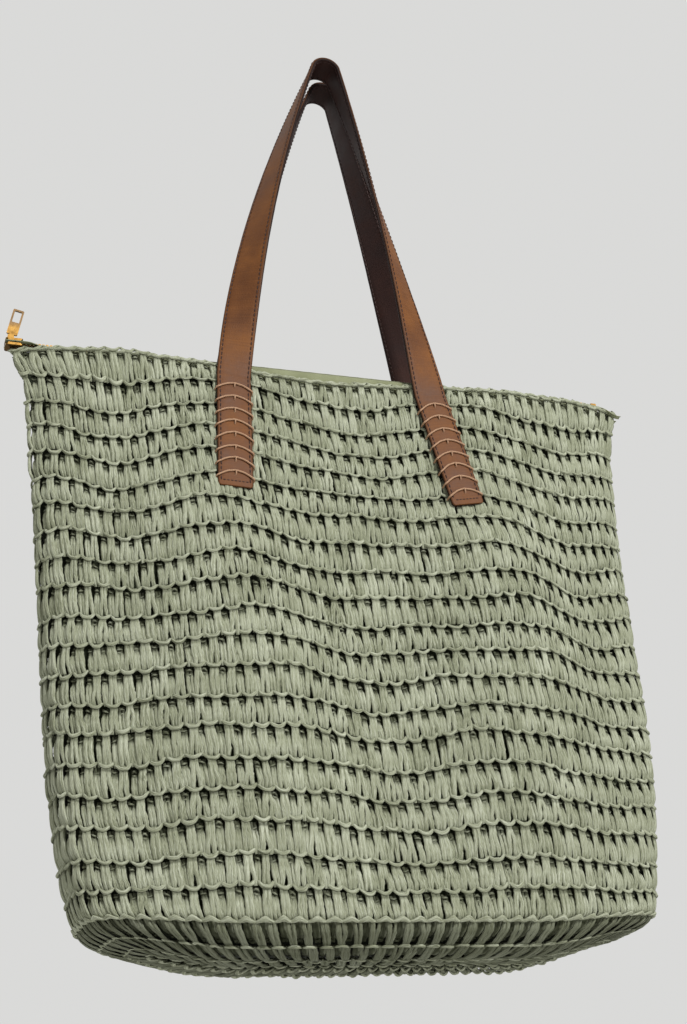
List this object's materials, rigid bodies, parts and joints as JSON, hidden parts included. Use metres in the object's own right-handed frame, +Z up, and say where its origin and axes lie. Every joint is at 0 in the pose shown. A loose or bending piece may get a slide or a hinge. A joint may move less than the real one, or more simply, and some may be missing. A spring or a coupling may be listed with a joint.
{
  "type": "beach bag",
  "caption": "Crocheted straw beach tote with a flat oval base, a pinched zipped top, a cloth lining and two laced leather strap handles.",
  "frame": {"origin": "on the ground plane under the middle of the base", "axes": "+Z up towards the handles, -Y the front face, X along the zip with the closed slider at -X"},
  "size_m": [0.432, 0.1034, 0.6493],
  "materials": {
    "crochet_straw": "matte sage green paper-straw crochet",
    "lining_cloth": "dark green woven cotton",
    "zip_cloth": "sage green woven tape",
    "zip_metal": "polished brass",
    "outer_leather": "saddle brown, satin, stitched edges",
    "inner_leather": "dark brown backing leather",
    "lacing_thread": "waxed tan thread"
  },
  "bodies": {
    "bag": {"crochet_front": "crochet_straw", "crochet_back": "crochet_straw", "crochet_left_side": "crochet_straw", "crochet_right_side": "crochet_straw", "crochet_base_edge": "crochet_straw", "crochet_base": "crochet_straw", "base_seam_chain": "crochet_straw", "lining_front": "lining_cloth", "lining_back": "lining_cloth", "lining_left_side": "lining_cloth", "lining_right_side": "lining_cloth", "lining_base": "lining_cloth", "facing_front": "zip_cloth", "facing_back": "zip_cloth", "zip_tape_left_end": "zip_cloth", "zip_tape_right_end": "zip_cloth", "zip_teeth_left_end": "zip_metal", "zip_teeth_right_end": "zip_metal", "zip_bottom_stop": "zip_metal", "front_left_tab": "outer_leather", "front_right_tab": "outer_leather", "back_left_tab": "outer_leather", "back_right_tab": "outer_leather", "front_left_lacing": "lacing_thread", "front_right_lacing": "lacing_thread", "back_left_lacing": "lacing_thread", "back_right_lacing": "lacing_thread"},
    "zip_front_half": {"zip_tape_front": "zip_cloth", "zip_teeth_front": "zip_metal"},
    "zip_back_half": {"zip_tape_back": "zip_cloth", "zip_teeth_back": "zip_metal"},
    "zip_slider": {"zip_slider": "zip_metal"},
    "zip_pull_tab": {"zip_pull_tab": "zip_metal"},
    "front_handle": {"front_handle_outer": "outer_leather", "front_handle_inner": "inner_leather"},
    "back_handle": {"back_handle_outer": "outer_leather", "back_handle_inner": "inner_leather"}
  },
  "joints": [
    {"name": "front_handle_swing", "type": "hinge", "parent": "bag", "child": "front_handle", "pos_m": [0, -0.02176, 0.37015], "axis": [1, 0, 0], "range_deg": [0, 160]},
    {"name": "back_handle_swing", "type": "hinge", "parent": "bag", "child": "back_handle", "pos_m": [0, 0.02176, 0.37015], "axis": [-1, 0, 0], "range_deg": [0, 160]},
    {"name": "zip_slide", "type": "slide", "parent": "bag", "child": "zip_slider", "axis": [1, 0, 0], "range_m": [0, 0.335], "deforming": ["zip_tape_front", "zip_tape_back", "zip_tape_left_end", "zip_tape_right_end", "zip_teeth_front", "zip_teeth_back", "zip_teeth_left_end", "zip_teeth_right_end"]},
    {"name": "zip_front_open", "type": "hinge", "parent": "bag", "child": "zip_front_half", "pos_m": [0, -0.0106, 0.3853], "axis": [1, 0, 0], "range_deg": [0, 65]},
    {"name": "zip_back_open", "type": "hinge", "parent": "bag", "child": "zip_back_half", "pos_m": [0, 0.0106, 0.3853], "axis": [-1, 0, 0], "range_deg": [0, 65]},
    {"name": "pull_tab_swing", "type": "hinge", "parent": "zip_slider", "child": "zip_pull_tab", "pos_m": [-0.2145, 0, 0.3937], "axis": [0, 1, 0], "range_deg": [-73, 50]}
  ],
  "couplings": [
    {"joint": "zip_front_open", "follows": "zip_slide", "rad_per_m": 3.381},
    {"joint": "zip_back_open", "follows": "zip_slide", "rad_per_m": 3.381}
  ]
}
